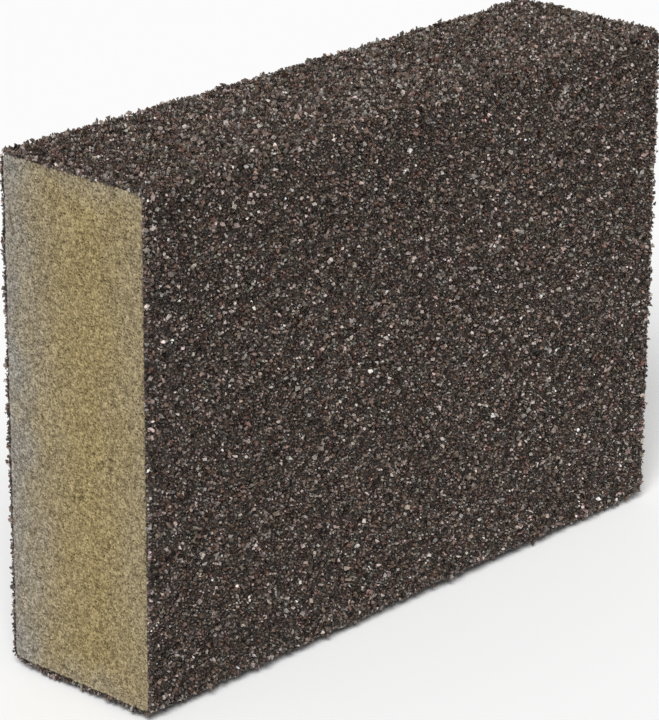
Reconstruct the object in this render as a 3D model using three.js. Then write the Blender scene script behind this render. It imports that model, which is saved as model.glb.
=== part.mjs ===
// Sanding block: a foam core with an abrasive coat on its four long sides and bare foam at both ends.
//
// Millimetres. The block stands on one long narrow edge, as it does on a shelf:
//   X runs along its length, Y through its thickness (the front broad face looks along -Y), Z is up.
// The origin is at the middle of the bottom edge face.

import * as THREE from 'three';

// Overall size, measured over the tips of the grains on the coated sides.
const LENGTH = 100;
const THICKNESS = 26;
const HEIGHT = 70;

// Round on the four long edges, measured over the grains.
const EDGE_RADIUS = 1.7;

// The coat, from the outside in: grains with their size resin, then the resin film that bonds them to the foam.
const GRAIN_COAT = 0.55;
const MAKE_COAT = 0.25;
const COAT = GRAIN_COAT + MAKE_COAT;

// Each half of a round is drawn with twice this many flats.
const CURVE_SEGMENTS = 3;

const RIGHT_ANGLE = Math.PI / 2;
const HALF_CORNER = Math.PI / 4;

// The four coated sides, by the direction that each one faces in the section (0 is +Y, a right angle is +Z).
const SIDES = {
  back: 0,
  top_edge: RIGHT_ANGLE,
  front: 2 * RIGHT_ANGLE,
  bottom_edge: 3 * RIGHT_ANGLE,
};

const foamMaterial = new THREE.MeshStandardMaterial({ color: 0x948561, roughness: 0.95, metalness: 0 });
const resinMaterial = new THREE.MeshStandardMaterial({ color: 0x2a2320, roughness: 0.45, metalness: 0 });
const grainMaterial = new THREE.MeshStandardMaterial({ color: 0x4b433f, roughness: 0.55, metalness: 0 });

// Centre of the round that lies diagonally in the given direction. All layers share it, so they stay concentric.
function roundCentre(direction) {
  return {
    y: Math.sign(Math.cos(direction)) * (THICKNESS / 2 - EDGE_RADIUS),
    z: HEIGHT / 2 + Math.sign(Math.sin(direction)) * (HEIGHT / 2 - EDGE_RADIUS),
  };
}

// Adds half of a round to the path, between two directions, at a depth below the grain tips.
function addHalfRound(path, corner, from, to, depth) {
  const centre = roundCentre(corner);
  path.absarc(centre.y, centre.z, EDGE_RADIUS - depth, from, to, to < from);
}

// One side of the section, anticlockwise: half a round, the flat between, half a round.
function addSide(path, facing, depth) {
  addHalfRound(path, facing - HALF_CORNER, facing - HALF_CORNER, facing, depth);
  addHalfRound(path, facing + HALF_CORNER, facing, facing + HALF_CORNER, depth);
}

// The same side drawn the other way round.
function addSideBackwards(path, facing, depth) {
  addHalfRound(path, facing + HALF_CORNER, facing + HALF_CORNER, facing, depth);
  addHalfRound(path, facing - HALF_CORNER, facing, facing - HALF_CORNER, depth);
}

// Section of the foam: all four sides at the depth of the whole coat.
function coreSection() {
  const section = new THREE.Shape();
  for (const facing of Object.values(SIDES)) {
    addSide(section, facing, COAT);
  }
  return section;
}

// Section of one layer on one side. It ends in a mitre at the middle of each round, where the next side begins.
function layerSection(facing, outerDepth, innerDepth) {
  const section = new THREE.Shape();
  addSide(section, facing, outerDepth);
  addSideBackwards(section, facing, innerDepth);
  return section;
}

// Runs a section along the whole block. The section's own x and y become Y and Z, and its sweep becomes X.
function runAlongBlock(name, section, material) {
  const geometry = new THREE.ExtrudeGeometry(section, {
    depth: LENGTH,
    bevelEnabled: false,
    curveSegments: CURVE_SEGMENTS,
  });
  const turn = new THREE.Matrix4().makeBasis(
    new THREE.Vector3(0, 1, 0),
    new THREE.Vector3(0, 0, 1),
    new THREE.Vector3(1, 0, 0),
  );
  geometry.applyMatrix4(turn);
  const mesh = new THREE.Mesh(geometry, material);
  mesh.name = name;
  mesh.position.x = -LENGTH / 2;
  return mesh;
}

// The two layers of the coat on one side.
function coatOnSide(side, facing) {
  const coat = new THREE.Group();
  coat.add(runAlongBlock(`${side}_make_coat`, layerSection(facing, GRAIN_COAT, COAT), resinMaterial));
  coat.add(runAlongBlock(`${side}_grain_coat`, layerSection(facing, 0, GRAIN_COAT), grainMaterial));
  return coat;
}

const sandingBlock = new THREE.Group();
sandingBlock.add(runAlongBlock('foam_core', coreSection(), foamMaterial));
for (const [side, facing] of Object.entries(SIDES)) {
  sandingBlock.add(coatOnSide(side, facing));
}

export default sandingBlock;
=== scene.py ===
"""Sanding block: an olive foam core with four sides coated in real, separate abrasive grains.

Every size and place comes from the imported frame, in metres: X runs along the block, the front broad face
looks along -Y, and Z is up. A point on a coated side is given by how far along the block it is, how far
across the side (running on round the two half rounds at its borders), and how high above the foam.
"""

import itertools
import math

import bpy
import numpy as np
from mathutils import Matrix, Vector
from mathutils.geometry import delaunay_2d_cdt


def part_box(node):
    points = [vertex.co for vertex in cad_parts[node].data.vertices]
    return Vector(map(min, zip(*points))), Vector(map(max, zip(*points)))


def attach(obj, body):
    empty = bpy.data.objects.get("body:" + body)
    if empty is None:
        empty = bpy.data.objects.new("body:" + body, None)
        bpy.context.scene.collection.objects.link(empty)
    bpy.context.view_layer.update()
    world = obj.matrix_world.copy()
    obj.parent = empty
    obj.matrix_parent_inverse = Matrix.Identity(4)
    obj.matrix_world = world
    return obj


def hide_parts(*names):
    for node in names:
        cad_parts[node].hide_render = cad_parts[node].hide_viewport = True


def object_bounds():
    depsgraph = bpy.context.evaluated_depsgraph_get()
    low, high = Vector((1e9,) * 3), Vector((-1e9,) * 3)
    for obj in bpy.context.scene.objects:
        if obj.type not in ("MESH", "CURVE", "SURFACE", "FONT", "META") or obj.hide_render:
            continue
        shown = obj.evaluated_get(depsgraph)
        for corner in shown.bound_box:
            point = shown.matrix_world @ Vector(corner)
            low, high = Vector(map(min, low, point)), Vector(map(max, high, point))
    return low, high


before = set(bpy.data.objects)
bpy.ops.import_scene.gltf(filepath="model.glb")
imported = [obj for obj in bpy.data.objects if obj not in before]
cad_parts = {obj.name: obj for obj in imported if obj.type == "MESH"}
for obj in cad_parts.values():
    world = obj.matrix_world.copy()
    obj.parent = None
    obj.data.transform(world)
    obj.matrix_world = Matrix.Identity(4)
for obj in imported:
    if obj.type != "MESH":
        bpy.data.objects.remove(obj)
cad_low, cad_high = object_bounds()

MM = 0.001
SEED = 41
SCATTER_ROUNDS = 14                        # by then hardly any point finds room

# ---------------------------------------------------------------- sizes, from the frame

foam_low, foam_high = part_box("foam_core")
LENGTH = cad_high.x - cad_low.x
THICKNESS = cad_high.y - cad_low.y
HEIGHT = cad_high.z - cad_low.z
COAT = foam_low.z - cad_low.z
MAKE_COAT = COAT - (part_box("bottom_edge_make_coat")[0].z - cad_low.z)

EDGE_RADIUS = 1.7 * MM                     # round on the long edges, over the grains
FOAM_RADIUS = EDGE_RADIUS - COAT           # the same round on the foam
ARC_RADIUS = FOAM_RADIUS + MAKE_COAT       # where distances across the rounds are measured
SECTION_CENTRE = np.array([0.0, HEIGHT / 2])
FACE_HALF = np.array([foam_high.y - foam_low.y, foam_high.z - foam_low.z]) / 2   # of a cut end of the foam

# ---------------------------------------------------------------- foam

FOAM_CELL = 0.30 * MM                      # no two middles of foam cells are closer
RIM_CLEARANCE = 0.75                       # from the outline to the nearest middle, in cells
RIM_STRAY = (-0.12 * MM, 0.08 * MM)        # how far the outline strays in and out
RIM_DEPTH = 0.12 * MM                      # deepest point of the outline, under the cut
SHALLOWEST_CELL = 0.06 * MM                # middle of a closed cell, under the cut
OPEN_CELL_DEPTH = 0.28 * MM                # how much deeper the most open cell is
STRUT_DEPTH = 0.14 * MM                    # deepest corner between cells
CAVITIES = 110                             # on each end: places where the foam tore out deeper
CAVITY_RADIUS = (0.25 * MM, 0.5 * MM)
CAVITY_DEPTH = 0.2 * MM

# Grit dust on the foam: how strong it is beside each coat, how far in it reaches, and how it fades.
BACK_DUST = {"strength": 1.0, "reach": 15 * MM, "fade": 2}
FRONT_DUST = {"strength": 0.3, "reach": 9 * MM, "fade": 1}
EDGE_DUST = {"strength": 0.4, "reach": 5 * MM, "fade": 1}
DUST_STRAY = 0.3 * MM                      # how ragged its border is

# The foam's colours follow its pit shade values, painted shade which runs from 0 on a strut to 1 in the
# deepest pit.
CLOSED_CELL_SHADE = 0.3                      # painted shade of a closed cell: the most open cell has 1
DARKEST_CORNER = 0.6                       # between cells
CAVITY_SHADE = 0.3                           # painted shade added in the middle of a cavity

FOAM_MAP_MARGIN = 0.01                     # left free round each end on the bake map

# ---------------------------------------------------------------- resin film

FILM_STEP = 0.6 * MM                       # grid of the film
FILM_JITTER = 0.3                          # how far its points stray, in grid steps
FILM_LUMP = 0.07 * MM                      # how far they rise and sink
FILM_SINK = 0.02 * MM                      # how far its underside lies in the foam
FILM_TEAR = 0.16 * MM                      # how far its ends were torn back from the cut
FILM_MAP_MARGIN = 0.003                    # left free round it on the bake map

# ---------------------------------------------------------------- grains

GRAIN_SPACING = 0.35 * MM                  # no two grain centres are closer
GRAIN_SIZE = 0.49 * MM                     # median width of a grain
GRAIN_SIZE_SPREAD = 0.30                   # of its logarithm
GRAIN_SIZE_LIMITS = (0.5, 1.9)             # smallest and largest, as shares of the median
GRAIN_LIFT = (-0.15, 0.55)                 # middle of a grain over the film, in its widths
GRAIN_STRETCH = (0.85, 1.5)                # away from the side
GRAIN_SHAPES = 48                          # different lumps
GRAIN_CORNERS = (6, 8)                     # at least the first, and fewer than the second
GRAIN_CORNER_GAP = math.radians(50)        # least angle between two corners
GRAIN_CORNER_REACH = (0.85, 1.15)          # from the middle of the lump
GRAIN_BREADTH = (0.7, 0.95)                # to its length
GRAIN_THICKNESS = (0.5, 0.8)               # to its length
END_BAND = 0.4 * MM                        # beside the cut ends, where grains cling to the foam itself
END_OVERHANG = 0.1 * MM                    # how far past the cut a grain's middle may be
END_CROWDING = 3.4                         # extra grains along each cut end, for each spacing
LOWEST_AT_END = 0.3                        # how far grains at the ends may come down to the foam

SWELL = 0.10 * MM                          # slow unevenness of the foam's skin
CLUMP = 0.09 * MM                          # where grains and resin bunched up
DEEPEST_DIP = 0.12 * MM                    # so that the foam never shows through the film
CLUMP_LIGHT_AND_SHADE = 0.20                         # painted light on the raised clumps and painted shade in the dips: how much lighter and darker
PATCH_TINT = 0.045                         # how much patches of grains are redder or greener
TINT_SHIFT = np.array([1, -1, -0.5])       # red, green and blue in such a patch

LIGHT_GREYING = 0.5                        # how fast grains lose their colour as they get lighter
MOST_GREYING = 0.7
PALEST = 0.8                               # lightest a grain may be
GRAIN_SHINE = 0.6
GRAIN_IN_SQUARE = 0.3                      # a lump's size on its square of the bake map

# The minerals in the coat: each one's share, its colours with their weights, how much its grains' shades
# differ, and how rough their facets are.
MINERALS = {
    "brown": {
        "share": 0.50,
        "colours": [(0.40, (93, 71, 57)), (0.25, (100, 81, 67)), (0.20, (95, 68, 56)), (0.15, (108, 93, 79))],
        "shade_spread": 0.75,
        "roughness": (0.12, 0.40),
    },
    "grey": {
        "share": 0.42,
        "colours": [(0.45, (70, 56, 46)), (0.25, (55, 43, 35)), (0.20, (87, 73, 62)), (0.10, (77, 69, 62))],
        "shade_spread": 0.75,
        "roughness": (0.10, 0.34),
    },
    "pale": {
        "share": 0.08,
        "colours": [(0.5, (148, 133, 122)), (0.3, (161, 149, 139)), (0.2, (152, 131, 116))],
        "shade_spread": 0.3,
        "roughness": (0.10, 0.34),
    },
}

# ---------------------------------------------------------------- studio

FLOOR_HALF = 3.0                           # from its middle to each border
ROOM_LIGHT = 0.34                          # from all round
CAMERA_AZIMUTH = math.radians(-47.54)      # round from the front
CAMERA_ELEVATION = math.radians(20.74)     # above the horizon
CAMERA_ROLL = math.radians(0.39)
CAMERA_DISTANCE = 477.9 * MM
CAMERA_TARGET = Vector((-3.4 * MM, 0, HEIGHT / 2 - 2.7 * MM))
CAMERA_LENS = 178.8


# ================================================================ shapes on the coated sides


class Side:
    """One coated side of the block, by the direction it faces in the Y-Z section.

    Along, across and height are a left-handed set of directions, so placing a shape mirrors it, and its
    triangles have to be turned over to go on facing out.
    """

    def __init__(self, name, facing, half_depth, half_width):
        self.name = name
        self.out = np.array([math.cos(facing), math.sin(facing)])
        self.over = np.array([-math.sin(facing), math.cos(facing)])
        self.round_depth = half_depth - EDGE_RADIUS
        self.half_flat = half_width - EDGE_RADIUS
        self.half_across = self.half_flat + ARC_RADIUS * math.pi / 4

    def place(self, along, across, height):
        """Points in space for arrays of places along, across and above the side."""
        turn = np.clip(np.abs(across) - self.half_flat, 0, None) / ARC_RADIUS
        radius = FOAM_RADIUS + height
        out = self.round_depth + radius * np.cos(turn)
        over = np.sign(across) * (np.minimum(np.abs(across), self.half_flat) + radius * np.sin(turn))
        section = SECTION_CENTRE + out[..., None] * self.out + over[..., None] * self.over
        return np.concatenate([along[..., None], section], axis=-1)


# The sides in order round the section, anticlockwise.
SIDES = [
    Side("bottom_edge", -math.pi / 2, HEIGHT / 2, THICKNESS / 2),
    Side("back", 0.0, THICKNESS / 2, HEIGHT / 2),
    Side("top_edge", math.pi / 2, HEIGHT / 2, THICKNESS / 2),
    Side("front", math.pi, THICKNESS / 2, HEIGHT / 2),
]


def waves(seed, count, shortest, longest):
    """Random sine waves in space, as wave vectors and phases."""
    rng = np.random.default_rng(seed)
    directions = rng.normal(size=(count, 3))
    directions /= np.linalg.norm(directions, axis=1)[:, None]
    lengths = rng.uniform(shortest, longest, count)
    return directions * (2 * math.pi / lengths)[:, None], rng.uniform(0, 2 * math.pi, count)


SWELL_WAVES = waves(SEED, 14, 5 * MM, 22 * MM)
PATCH_WAVES = waves(SEED + 2, 16, 1.2 * MM, 3.5 * MM)
TINT_WAVES = waves(SEED + 3, 16, 1.5 * MM, 4 * MM)
DUST_WAVES = waves(SEED + 5, 10, 2 * MM, 12 * MM)


def wave_sum(field, points):
    """The sum of some waves at points in space."""
    vectors, phases = field
    return np.sin(points @ vectors.T + phases).sum(axis=-1)


def wavy(field, side, along, across):
    """Smooth noise at places on a side, round nought and with a spread of one."""
    ground = side.place(along, across, np.zeros_like(along))
    return wave_sum(field, ground) / math.sqrt(len(field[1]) / 2)


def swell(side, along, across):
    """How far the coat stands above or below its mean height."""
    slow = SWELL * wavy(SWELL_WAVES, side, along, across)
    return np.maximum(slow + CLUMP * wavy(PATCH_WAVES, side, along, across), -DEEPEST_DIP)


def neighbours(grid, step, margin):
    """The grid inside its margin, moved so that each cell holds its neighbour at that step."""
    rows, columns = grid.shape[0] - 2 * margin, grid.shape[1] - 2 * margin
    return grid[margin + step[0]:margin + step[0] + rows, margin + step[1]:margin + step[1] + columns]


def scatter(rng, length, width, spacing):
    """Random points in a rectangle round the origin, close together but none nearer than spacing.

    The rectangle is divided into cells that hold one point each. In each round every empty cell tries a
    point. It stays if it is clear of the points already there, and of neighbouring tries of higher rank.
    """
    columns = math.ceil(length / spacing * math.sqrt(2))
    rows = math.ceil(width / spacing * math.sqrt(2))
    cell = np.array([length / columns, width / rows])
    corner = np.stack(np.meshgrid(np.arange(columns), np.arange(rows)), axis=-1) * cell
    margin = 2
    middle = (slice(margin, -margin), slice(margin, -margin))
    steps = [step for step in itertools.product(range(-margin, margin + 1), repeat=2) if step != (0, 0)]
    taken = np.full((rows + 2 * margin, columns + 2 * margin, 2), np.inf)
    for _ in range(SCATTER_ROUNDS):
        tries = corner + rng.random((rows, columns, 2)) * cell
        stays = np.isinf(taken[middle][..., 0])
        for step in steps:
            apart = neighbours(taken, step, margin) - tries
            stays &= np.hypot(apart[..., 0], apart[..., 1]) >= spacing
        rivals = np.full_like(taken, np.inf)
        rivals[middle] = np.where(stays[..., None], tries, np.inf)
        rank = np.zeros(taken.shape[:2])
        rank[middle] = rng.random((rows, columns))
        for step in steps:
            apart = neighbours(rivals, step, margin) - tries
            close = np.hypot(apart[..., 0], apart[..., 1]) < spacing
            stays &= ~(close & (neighbours(rank, step, margin) > rank[middle]))
        taken[middle] = np.where(stays[..., None], tries, taken[middle])
    found = taken[middle].reshape(-1, 2)
    return found[np.isfinite(found[:, 0])] - np.array([length, width]) / 2


# ================================================================ mesh making


def triangle_mesh(name, points, triangles, smooth=False):
    """An object from arrays of points and triangles."""
    mesh = bpy.data.meshes.new(name)
    mesh.vertices.add(len(points))
    mesh.vertices.foreach_set("co", np.ascontiguousarray(points, np.float32).ravel())
    mesh.loops.add(triangles.size)
    mesh.loops.foreach_set("vertex_index", np.ascontiguousarray(triangles, np.int32).ravel())
    mesh.polygons.add(len(triangles))
    mesh.polygons.foreach_set("loop_start", np.arange(0, triangles.size, 3, dtype=np.int32))
    mesh.polygons.foreach_set("use_smooth", np.full(len(triangles), smooth))
    mesh.update(calc_edges=True)
    piece = bpy.data.objects.new(name, mesh)
    bpy.context.scene.collection.objects.link(piece)
    return piece


def add_bake_map(piece, flat_points):
    """A UV map to bake into, from one point in the unit square for each vertex."""
    loops = np.empty(len(piece.data.loops), np.int32)
    piece.data.loops.foreach_get("vertex_index", loops)
    bake_map = piece.data.uv_layers.new(name="OFBake")
    bake_map.data.foreach_set("uv", np.ascontiguousarray(flat_points[loops], np.float32).ravel())


def add_point_values(piece, name, values):
    """A number for each vertex, for a material to read."""
    attribute = piece.data.attributes.new(name, "FLOAT", "POINT")
    attribute.data.foreach_set("value", np.ascontiguousarray(values, np.float32))


def add_point_colours(piece, name, colours):
    """A colour for each vertex, for a material to read."""
    attribute = piece.data.attributes.new(name, "FLOAT_COLOR", "POINT")
    with_alpha = np.column_stack([colours, np.ones(len(colours))])
    attribute.data.foreach_set("color", np.ascontiguousarray(with_alpha, np.float32).ravel())


def finish_piece(piece, material, slot, *nodes):
    """Gives a piece its material, hangs it on the root body, and hides the frame's parts that it stands for.
    """
    piece.data.materials.append(material)
    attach(piece, "root")
    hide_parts(*nodes)


# ================================================================ materials


class Nodes:
    """A short way to write a material's node tree."""

    def __init__(self, name):
        self.material = bpy.data.materials.new(name)
        self.material.use_nodes = True
        self.tree = self.material.node_tree
        self.shader = self.tree.nodes["Principled BSDF"]

    def add(self, kind, **settings):
        node = self.tree.nodes.new(kind)
        for key, value in settings.items():
            setattr(node, key, value)
        return node

    def feed(self, value, socket):
        """Links an output to a socket, or sets a plain value on it."""
        if isinstance(value, bpy.types.NodeSocket):
            self.tree.links.new(value, socket)
        else:
            socket.default_value = value

    def finish(self, colour, roughness, shine):
        """Sets the shader. Colour and roughness are outputs or plain values, and shine is a number."""
        self.feed(colour, self.shader.inputs["Base Color"])
        self.feed(roughness, self.shader.inputs["Roughness"])
        self.shader.inputs["Specular IOR Level"].default_value = shine

    def attribute(self, name, output):
        return self.add("ShaderNodeAttribute", attribute_name=name).outputs[output]

    def texture(self, kind, size):
        """A texture in space whose features are of the given size in metres."""
        node = self.add(kind)
        self.feed(self.add("ShaderNodeTexCoord").outputs["Object"], node.inputs["Vector"])
        node.inputs["Scale"].default_value = 1 / size
        return node

    def noise(self, size, detail=2.0):
        """Cloudy noise from 0 to 1."""
        node = self.texture("ShaderNodeTexNoise", size)
        node.inputs["Detail"].default_value = detail
        return node.outputs["Fac"]

    def noise_between(self, low, high, size, detail=2.0):
        """Cloudy noise stretched to run from low to high: it seldom leaves the middle of its own range."""
        return self.remap(self.noise(size, detail), (0.3, 0.7), (low, high))

    def cells(self, size, output):
        """Cells: the Distance to the middle of the nearest one, or its own random Color."""
        return self.texture("ShaderNodeTexVoronoi", size).outputs[output]

    def remap(self, value, old_range, new_range):
        node = self.add("ShaderNodeMapRange", clamp=True)
        self.feed(value, node.inputs["Value"])
        for key, number in zip(("From Min", "From Max", "To Min", "To Max"), (*old_range, *new_range)):
            node.inputs[key].default_value = number
        return node.outputs["Result"]

    def ramp(self, value, *stops):
        """A colour ramp through (place, colour) stops."""
        node = self.add("ShaderNodeValToRGB")
        elements = node.color_ramp.elements
        while len(elements) < len(stops):
            elements.new(1.0)
        for element, (place, colour) in zip(elements, stops):
            element.position = place
            element.color = (*srgb(*colour), 1)
        self.feed(value, node.inputs["Fac"])
        return node.outputs["Color"]

    def mix(self, share, first, second, blend="MIX"):
        node = self.add("ShaderNodeMix", data_type="RGBA", blend_type=blend)
        factor, first_colour, second_colour = (node.inputs[i] for i in (0, 6, 7))
        self.feed(share, factor)
        self.feed(first, first_colour)
        self.feed(second, second_colour)
        return node.outputs[2]

    def bump(self, height, distance):
        node = self.add("ShaderNodeBump")
        node.inputs["Distance"].default_value = distance
        self.feed(height, node.inputs["Height"])
        self.feed(node.outputs["Normal"], self.shader.inputs["Normal"])


def srgb(red, green, blue):
    """A linear colour from the 0 to 255 numbers of a colour picker."""
    channels = (red / 255, green / 255, blue / 255)
    return tuple(c / 12.92 if c <= 0.04045 else ((c + 0.055) / 1.055) ** 2.4 for c in channels)


def grain_material(name, roughness):
    """Broken mineral: each grain's own colour, slightly cloudy, with facets from glassy to dull."""
    nodes = Nodes(name)
    tint = nodes.attribute("grain_colour", "Color")
    cloud = nodes.noise_between(0.66, 1.34, size=0.25 * MM)
    wear = nodes.noise_between(*roughness, size=0.4 * MM, detail=1.0)
    nodes.finish(nodes.mix(1.0, tint, cloud, "MULTIPLY"), wear, GRAIN_SHINE)
    nodes.bump(nodes.noise(0.12 * MM), 0.12 * MM)
    return nodes.material


def resin_material():
    """Cured phenolic resin, nearly black brown, full of fine grit: small cells, each its own shade."""
    nodes = Nodes("bond_resin")
    grit_size = 0.26 * MM
    grit = nodes.cells(grit_size, "Color")
    colour = nodes.ramp(grit, (0.25, (14, 11, 9)), (0.6, (44, 36, 31)), (0.8, (84, 71, 62)))
    nodes.finish(colour, nodes.remap(grit, (0.2, 0.8), (0.35, 0.65)), shine=0.3)
    nodes.bump(nodes.cells(grit_size, "Distance"), 0.14 * MM)
    return nodes.material


def foam_material():
    """Open-cell polyurethane foam: pale struts over pits darkened with painted shade, greyed with grit dust
    beside the coats.
    """
    nodes = Nodes("foam")
    pit_shade = nodes.attribute("painted_pit_shade", "Fac")
    # The darker stops of both ramps are painted shade in the pits.
    clean = nodes.ramp(pit_shade, (0.05, (175, 159, 115)), (0.4, (135, 119, 83)), (0.9, (60, 51, 24)))
    dusty = nodes.ramp(pit_shade, (0.05, (171, 166, 157)), (0.4, (128, 123, 115)), (0.9, (58, 54, 48)))
    foam = nodes.mix(nodes.attribute("dust", "Fac"), clean, dusty)
    blotch = nodes.noise_between(0.95, 1.05, size=1.6 * MM, detail=3.0)
    nodes.finish(nodes.mix(1.0, foam, blotch, "MULTIPLY"), roughness=0.9, shine=0.25)
    nodes.bump(nodes.noise(0.1 * MM), 0.05 * MM)
    return nodes.material


# ================================================================ foam core


def depth_inside(places):
    """How far points of the end face lie inside its outline, near that outline."""
    core = np.clip(places, FOAM_RADIUS - FACE_HALF, FACE_HALF - FOAM_RADIUS)
    return FOAM_RADIUS - np.linalg.norm(places - core, axis=1)


def rim_places(rng):
    """Points round the slightly ragged outline of the end face, anticlockwise."""
    stretches = []
    for side in SIDES:
        count = round(2 * side.half_across / FOAM_CELL)
        across = np.linspace(-side.half_across, side.half_across, count, endpoint=False)
        height = rng.uniform(*RIM_STRAY, count)
        stretches.append(side.place(np.zeros(count), across, height)[:, 1:] - SECTION_CENTRE)
    return np.concatenate(stretches)


def cell_triangles(middles, rim_count):
    """Splits the end face into cells round their middles. Returns the corners between cells, and triangles.

    Each corner is the centre of a Delaunay triangle of middles, and each triangle of the face has one middle
    and two corners, so that every cell is a fan. The first middles are the outline, where the fans end.
    """
    outline = list(range(rim_count))
    delaunay = delaunay_2d_cdt([Vector(place) for place in middles], [], [outline], 1, 1e-9)[2]
    delaunay = np.array(delaunay)
    corners = middles[delaunay].mean(axis=1)
    first_corner = len(middles) + np.tile(np.arange(len(delaunay)), 3)
    start = delaunay.T.ravel()
    end = np.roll(delaunay, -1, axis=1).T.ravel()

    # Pairs up the two Delaunay triangles on either side of each edge, which use it in opposite directions.
    edge = start * len(middles) + end
    reverse = end * len(middles) + start
    order = np.argsort(edge)
    twin = order[np.searchsorted(edge[order], reverse).clip(max=len(order) - 1)]
    paired = edge[twin] == reverse

    fans = np.column_stack([start, first_corner[twin], first_corner])[paired]
    rims = np.column_stack([start, end, first_corner])[~paired]
    return corners, np.concatenate([fans, rims])


def foam_end(rng):
    """One cut face: its points' places, depths under the cut and painted pit shade, its triangles, and a
    count.

    The count is of the points on its outline, which come first.
    """
    rim = rim_places(rng)
    inner = scatter(rng, *(2 * FACE_HALF), FOAM_CELL)
    inner = inner[depth_inside(inner) > RIM_CLEARANCE * FOAM_CELL]
    middles = np.concatenate([rim, inner])
    corners, triangles = cell_triangles(middles, len(rim))
    places = np.concatenate([middles, corners])
    openness = rng.random(len(middles))
    cavity = np.zeros(len(places))
    for centre in inner[rng.choice(len(inner), CAVITIES, replace=False)]:
        from_centre = np.linalg.norm(places - centre, axis=1)
        cavity = np.maximum(cavity, 1 - from_centre / rng.uniform(*CAVITY_RADIUS))
    cell_depth = SHALLOWEST_CELL + OPEN_CELL_DEPTH * openness
    depth = np.concatenate([cell_depth, rng.uniform(0, STRUT_DEPTH, len(corners))]) + CAVITY_DEPTH * cavity
    depth[:len(rim)] = rng.uniform(0, RIM_DEPTH, len(rim))
    # Painted shade: darkest in the most open cells and in cavities, and random on the corners between cells.
    cell_shade = CLOSED_CELL_SHADE + (1 - CLOSED_CELL_SHADE) * openness
    pit_shade = np.concatenate([cell_shade, rng.uniform(0, DARKEST_CORNER, len(corners))]) + CAVITY_SHADE * cavity
    return places, depth, np.clip(pit_shade, 0, 1), triangles, len(rim)


def dust_beside(distance, strength, reach, fade):
    """Dust at a distance from a coat, from 0 to its strength."""
    return strength * np.clip(1 - distance / reach, 0, 1) ** fade


def dust_on_foam(places):
    """Grey grit dust, from 0 to 1: strong and deep beside the back coat, faint beside the others."""
    stray = DUST_STRAY * wave_sum(DUST_WAVES, np.column_stack([np.zeros(len(places)), places]))
    return np.maximum.reduce([
        dust_beside(FACE_HALF[0] - places[:, 0] + stray, **BACK_DUST),
        dust_beside(FACE_HALF[0] + places[:, 0] + stray, **FRONT_DUST),
        dust_beside(FACE_HALF[1] - np.abs(places[:, 1]) + stray, **EDGE_DUST),
    ])


def make_foam_core():
    """The foam: two cut faces of open cells, joined by its four plain sides under the coats."""
    points, triangles, pit_shades, dust, flat_points, rims = [], [], [], [], [], []
    for number, (end_x, inward) in enumerate([(cad_low.x, 1), (cad_high.x, -1)]):
        places, depth, pit_shade, cells, rim_count = foam_end(np.random.default_rng(SEED + 10 + number))
        first = sum(map(len, points))
        rims.append(first + np.arange(rim_count))
        points.append(np.column_stack([end_x + inward * depth, places + SECTION_CENTRE]))
        triangles.append(cells[:, ::-inward] + first)   # they face +X, so the left end's are turned over
        pit_shades.append(pit_shade)
        dust.append(dust_on_foam(places))
        across, up = ((places / FACE_HALF + 1) / 2).T
        flat_points.append(np.column_stack([
            number / 2 + FOAM_MAP_MARGIN + (0.5 - 2 * FOAM_MAP_MARGIN) * across,
            FOAM_MAP_MARGIN + (1 - 2 * FOAM_MAP_MARGIN) * up,
        ]))
    left, right = rims
    next_left, next_right = np.roll(left, -1), np.roll(right, -1)
    triangles.append(np.column_stack([left, next_left, next_right]))
    triangles.append(np.column_stack([left, next_right, right]))
    foam = triangle_mesh("foam_body", np.concatenate(points), np.concatenate(triangles))
    # The painted shade in the pits, for the foam's colour ramps.
    add_point_values(foam, "painted_pit_shade", np.concatenate(pit_shades))
    add_point_values(foam, "dust", np.concatenate(dust))
    add_bake_map(foam, np.concatenate(flat_points))
    finish_piece(foam, foam_material(), "foam", "foam_core")


# ================================================================ resin film


def grid_triangles(rows, columns):
    """Two triangles, facing out, for each square of a grid of points on a side, numbered row by row."""
    corner = (np.arange(rows - 1)[:, None] * columns + np.arange(columns - 1)).ravel()
    square = np.column_stack([corner, corner + columns, corner + columns + 1, corner + 1])
    return np.concatenate([square[:, [0, 1, 2]], square[:, [0, 2, 3]]])


def border_loop(rows, columns):
    """The points round the border of such a grid, in order."""
    index = np.arange(rows * columns).reshape(rows, columns)
    return np.concatenate([index[0, :-1], index[:-1, -1], index[-1, :0:-1], index[:0:-1, 0]])


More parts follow.
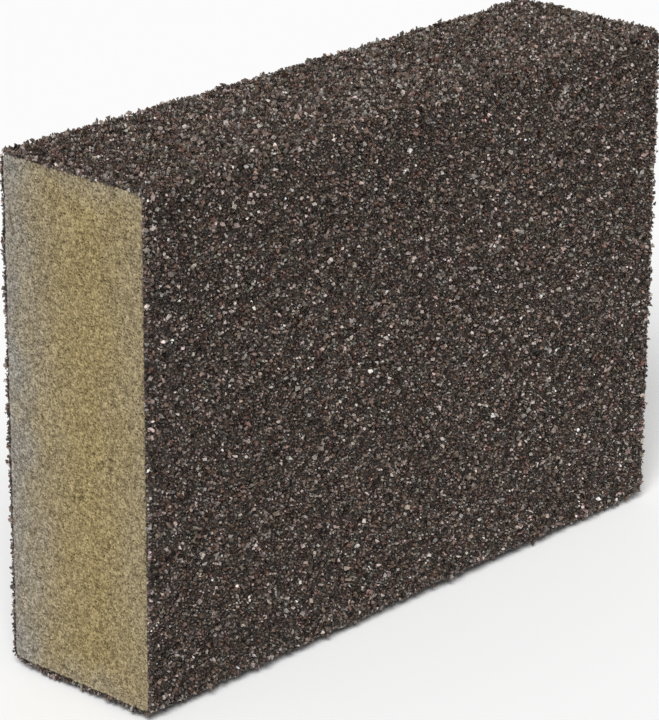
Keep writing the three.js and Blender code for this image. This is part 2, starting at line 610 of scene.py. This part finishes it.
def make_resin_film(side, material):
    """The bond film on one side: a closed sheet, flat against the foam and lumpy outside."""
    rng = np.random.default_rng(SEED + 20 + SIDES.index(side))
    columns = int(LENGTH / FILM_STEP) + 1
    rows = int(2 * side.half_across / FILM_STEP) + 1
    along, across = np.meshgrid(
        np.linspace(cad_low.x, cad_high.x, columns),
        np.linspace(-side.half_across, side.half_across, rows),
    )
    inside = (slice(1, -1), slice(1, -1))
    along[inside] += rng.uniform(-FILM_JITTER, FILM_JITTER, along[inside].shape) * FILM_STEP
    across[inside] += rng.uniform(-FILM_JITTER, FILM_JITTER, across[inside].shape) * FILM_STEP
    torn = rng.uniform(0, FILM_TEAR, (rows, 2))
    along[:, 0] += torn[:, 0]
    along[:, -1] -= torn[:, 1]
    height = MAKE_COAT + rng.uniform(-FILM_LUMP, FILM_LUMP, along.shape) + swell(side, along, across)
    top = side.place(along, across, height)
    bottom = side.place(along, across, np.full_like(along, -FILM_SINK))

    sheet = grid_triangles(rows, columns)
    loop = border_loop(rows, columns)
    following = np.roll(loop, -1)
    count = along.size
    triangles = np.concatenate([
        sheet,
        sheet[:, ::-1] + count,
        np.column_stack([loop, following, following + count]),
        np.column_stack([loop, following + count, loop + count]),
    ])
    points = np.concatenate([top.reshape(-1, 3), bottom.reshape(-1, 3)])
    film = triangle_mesh(f"{side.name}_resin_film", points, triangles, smooth=True)
    unit = np.column_stack([
        (along.ravel() - cad_low.x) / LENGTH,
        across.ravel() / side.half_across / 2 + 0.5,
    ])
    add_bake_map(film, np.clip(np.concatenate([unit, unit]), FILM_MAP_MARGIN, 1 - FILM_MAP_MARGIN))
    finish_piece(film, material, "bond_resin", f"{side.name}_make_coat")


# ================================================================ grains


def hull_facets(corners):
    """The triangles of a convex hull, by trying every three corners: fine for a handful of points."""
    facets = []
    for a, b, c in itertools.combinations(range(len(corners)), 3):
        side = (corners - corners[a]) @ np.cross(corners[b] - corners[a], corners[c] - corners[a])
        side[[a, b, c]] = 0
        if (side <= 0).all():
            facets.append((a, b, c))
        elif (side >= 0).all():
            facets.append((a, c, b))
    return np.array(facets)


def grain_shape(rng):
    """One broken grain, about two units wide: a few corners spread over a squashed ball, and their hull.

    The facets are turned over, ready for placing on a side.
    """
    wanted = rng.integers(*GRAIN_CORNERS)
    corners = []
    while len(corners) < wanted:
        corner = rng.normal(size=3)
        corner /= np.linalg.norm(corner)
        if all(corner @ other < math.cos(GRAIN_CORNER_GAP) for other in corners):
            corners.append(corner)
    squash = np.array([1.0, rng.uniform(*GRAIN_BREADTH), rng.uniform(*GRAIN_THICKNESS)])
    corners = np.array(corners) * rng.uniform(*GRAIN_CORNER_REACH, (wanted, 1)) * squash
    used, facets = np.unique(hull_facets(corners), return_inverse=True)
    return corners[used], facets.reshape(-1, 3)[:, ::-1]


def random_turns(rng, count):
    """Evenly random rotation matrices, from random quaternions."""
    quaternions = rng.normal(size=(count, 4))
    w, x, y, z = (quaternions / np.linalg.norm(quaternions, axis=1, keepdims=True)).T
    return np.array([
        [1 - 2 * (y * y + z * z), 2 * (x * y - w * z), 2 * (x * z + w * y)],
        [2 * (x * y + w * z), 1 - 2 * (x * x + z * z), 2 * (y * z - w * x)],
        [2 * (x * z - w * y), 2 * (y * z + w * x), 1 - 2 * (x * x + y * y)],
    ]).transpose(2, 0, 1)


def grain_stances(rng, side, along, across):
    """Each grain's width, the height of its middle over the foam, its stretch away from it, and its turn."""
    count = len(along)
    size = GRAIN_SIZE * np.exp(rng.normal(0, GRAIN_SIZE_SPREAD, count)).clip(*GRAIN_SIZE_LIMITS)
    middle = MAKE_COAT + swell(side, along, across) + size * rng.uniform(*GRAIN_LIFT, count)
    lowered = middle * rng.uniform(LOWEST_AT_END, 1, count)
    middle = np.where(np.abs(along) > LENGTH / 2 - END_BAND, lowered, middle)
    stretch = rng.uniform(*GRAIN_STRETCH, count)
    return size, middle, stretch, random_turns(rng, count)


def grain_colours(rng, mineral, side, along, across):
    """A colour for each grain: one of its mineral's, darker, or lighter and greyer, in faint patches, with
    painted light on clumps and painted shade in dips.
    """
    count = len(along)
    weights = np.array([weight for weight, _ in mineral["colours"]])
    palette = np.array([srgb(*colour) for _, colour in mineral["colours"]])
    picked = palette[rng.choice(len(palette), count, p=weights / weights.sum())]
    # Painted light and shade: lighter where the coat bunches up in clumps, darker in its dips.
    clump_light_and_shade = CLUMP_LIGHT_AND_SHADE * wavy(PATCH_WAVES, side, along, across)
    shade = np.exp(rng.normal(0, mineral["shade_spread"], count) + clump_light_and_shade)[:, None]
    tint = PATCH_TINT * wavy(TINT_WAVES, side, along, across)[:, None] * TINT_SHIFT
    colours = picked * shade * np.exp(tint)
    greying = np.clip(LIGHT_GREYING * (shade - 1), 0, MOST_GREYING)
    greyed = colours + (colours.mean(axis=1, keepdims=True) - colours) * greying
    return np.clip(greyed, 0, PALEST)


def bake_squares(along, across):
    """A square of the bake map for each grain, so that neighbours on the block stay near each other."""
    count = len(along)
    columns = math.ceil(math.sqrt(count))
    band = np.empty(count, int)
    band[np.argsort(across)] = np.arange(count) // columns
    square = np.empty(count, int)
    square[np.lexsort((along, band))] = np.arange(count)
    return np.column_stack([square % columns, square // columns]), columns


def make_grains(side, mineral_name, places, material, shapes):
    """All of one side's grains of one mineral, as one piece of separate closed lumps."""
    mineral = MINERALS[mineral_name]
    rng = np.random.default_rng(SEED + 100 + 10 * SIDES.index(side) + list(MINERALS).index(mineral_name))
    along, across = places.T
    size, middle, stretch, turns = grain_stances(rng, side, along, across)
    colours = grain_colours(rng, mineral, side, along, across)
    squares, columns = bake_squares(along, across)
    kinds = rng.integers(len(shapes), size=len(places))
    points, triangles, tints, flat_points = [], [], [], []
    first = 0
    for kind, (corners, facets) in enumerate(shapes):
        chosen = np.flatnonzero(kinds == kind)
        lump = np.einsum("nij,kj->nki", turns[chosen], corners) * size[chosen, None, None] / 2
        placed = side.place(
            along[chosen, None] + lump[..., 0],
            across[chosen, None] + lump[..., 1],
            middle[chosen, None] + lump[..., 2] * stretch[chosen, None],
        )
        numbers = first + np.arange(len(chosen))[:, None, None] * len(corners) + facets
        in_square = 0.5 + GRAIN_IN_SQUARE * corners[:, :2]
        points.append(placed.reshape(-1, 3))
        triangles.append(numbers.reshape(-1, 3))
        tints.append(np.repeat(colours[chosen], len(corners), axis=0))
        flat_points.append(((squares[chosen, None] + in_square) / columns).reshape(-1, 2))
        first += len(chosen) * len(corners)
    name = f"{side.name}_{mineral_name}_grains"
    grains = triangle_mesh(name, np.concatenate(points), np.concatenate(triangles))
    add_point_colours(grains, "grain_colour", np.concatenate(tints))
    add_bake_map(grains, np.concatenate(flat_points))
    finish_piece(grains, material, "abrasive_grain", f"{side.name}_grain_coat")


def end_places(rng, side):
    """Extra grains along both cut ends of a side, where the coat was broken through."""
    count = round(END_CROWDING * side.half_across / GRAIN_SPACING)
    along = LENGTH / 2 - rng.uniform(-END_OVERHANG, END_BAND, (2, count))
    across = rng.uniform(-side.half_across, side.half_across, 2 * count)
    return np.column_stack([np.concatenate([-along[0], along[1]]), across])


def make_coats():
    """The resin film and the grains on every side."""
    rng = np.random.default_rng(SEED + 1)
    shapes = [grain_shape(rng) for _ in range(GRAIN_SHAPES)]
    resin = resin_material()
    materials = {
        name: grain_material(f"{name}_grain", mineral["roughness"])
        for name, mineral in MINERALS.items()
    }
    shares = np.array([mineral["share"] for mineral in MINERALS.values()])
    for side in SIDES:
        make_resin_film(side, resin)
        places = np.concatenate([
            scatter(rng, LENGTH + END_OVERHANG, 2 * side.half_across, GRAIN_SPACING),
            end_places(rng, side),
        ])
        kinds = rng.choice(len(MINERALS), len(places), p=shares / shares.sum())
        for number, name in enumerate(MINERALS):
            make_grains(side, name, places[kinds == number], materials[name], shapes)


# ================================================================ floor, light and camera


def make_floor():
    """A plain white floor, far wider than any view of the block, at the tip of its lowest grain."""
    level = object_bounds()[0].z
    signs = [(-1, -1), (1, -1), (1, 1), (-1, 1)]
    corners = np.array([(x * FLOOR_HALF, y * FLOOR_HALF, level) for x, y in signs])
    floor = triangle_mesh("floor", corners, np.array([(0, 1, 2), (0, 2, 3)]))
    nodes = Nodes("floor")
    nodes.finish((0.9, 0.9, 0.9, 1), roughness=0.9, shine=0.5)
    floor.data.materials.append(nodes.material)


def add_sun(name, azimuth, elevation, strength, width):
    """Even light from one direction, as soft as a studio softbox that many degrees wide."""
    lamp = bpy.data.lights.new(name, "SUN")
    lamp.energy = strength
    lamp.angle = math.radians(width)
    light = bpy.data.objects.new(name, lamp)
    round_block = Matrix.Rotation(math.radians(azimuth), 4, "Z")
    light.matrix_world = round_block @ Matrix.Rotation(math.radians(90 - elevation), 4, "X")
    bpy.context.scene.collection.objects.link(light)


def make_light():
    """Even white light from all round, and one wide key light from the left."""
    world = bpy.data.worlds.new("studio")
    world.use_nodes = True
    background = world.node_tree.nodes["Background"]
    background.inputs["Color"].default_value = (1, 1, 1, 1)
    background.inputs["Strength"].default_value = ROOM_LIGHT
    bpy.context.scene.world = world
    add_sun("key", azimuth=-55, elevation=45, strength=3.35, width=30)


def make_camera():
    """The camera looks at its target from CAMERA_DISTANCE away."""
    turn = (
        Matrix.Rotation(CAMERA_AZIMUTH, 4, "Z")
        @ Matrix.Rotation(math.pi / 2 - CAMERA_ELEVATION, 4, "X")
        @ Matrix.Rotation(CAMERA_ROLL, 4, "Z")
    )
    back = turn.to_3x3() @ Vector((0, 0, CAMERA_DISTANCE))
    camera = bpy.data.objects.new("camera", bpy.data.cameras.new("camera"))
    camera.data.lens = CAMERA_LENS
    camera.data.clip_start = 0.01
    camera.matrix_world = Matrix.Translation(CAMERA_TARGET + back) @ turn
    bpy.context.scene.collection.objects.link(camera)
    bpy.context.scene.camera = camera
    bpy.context.scene.view_settings.view_transform = "Standard"


make_camera()
make_light()
make_foam_core()
make_coats()
make_floor()
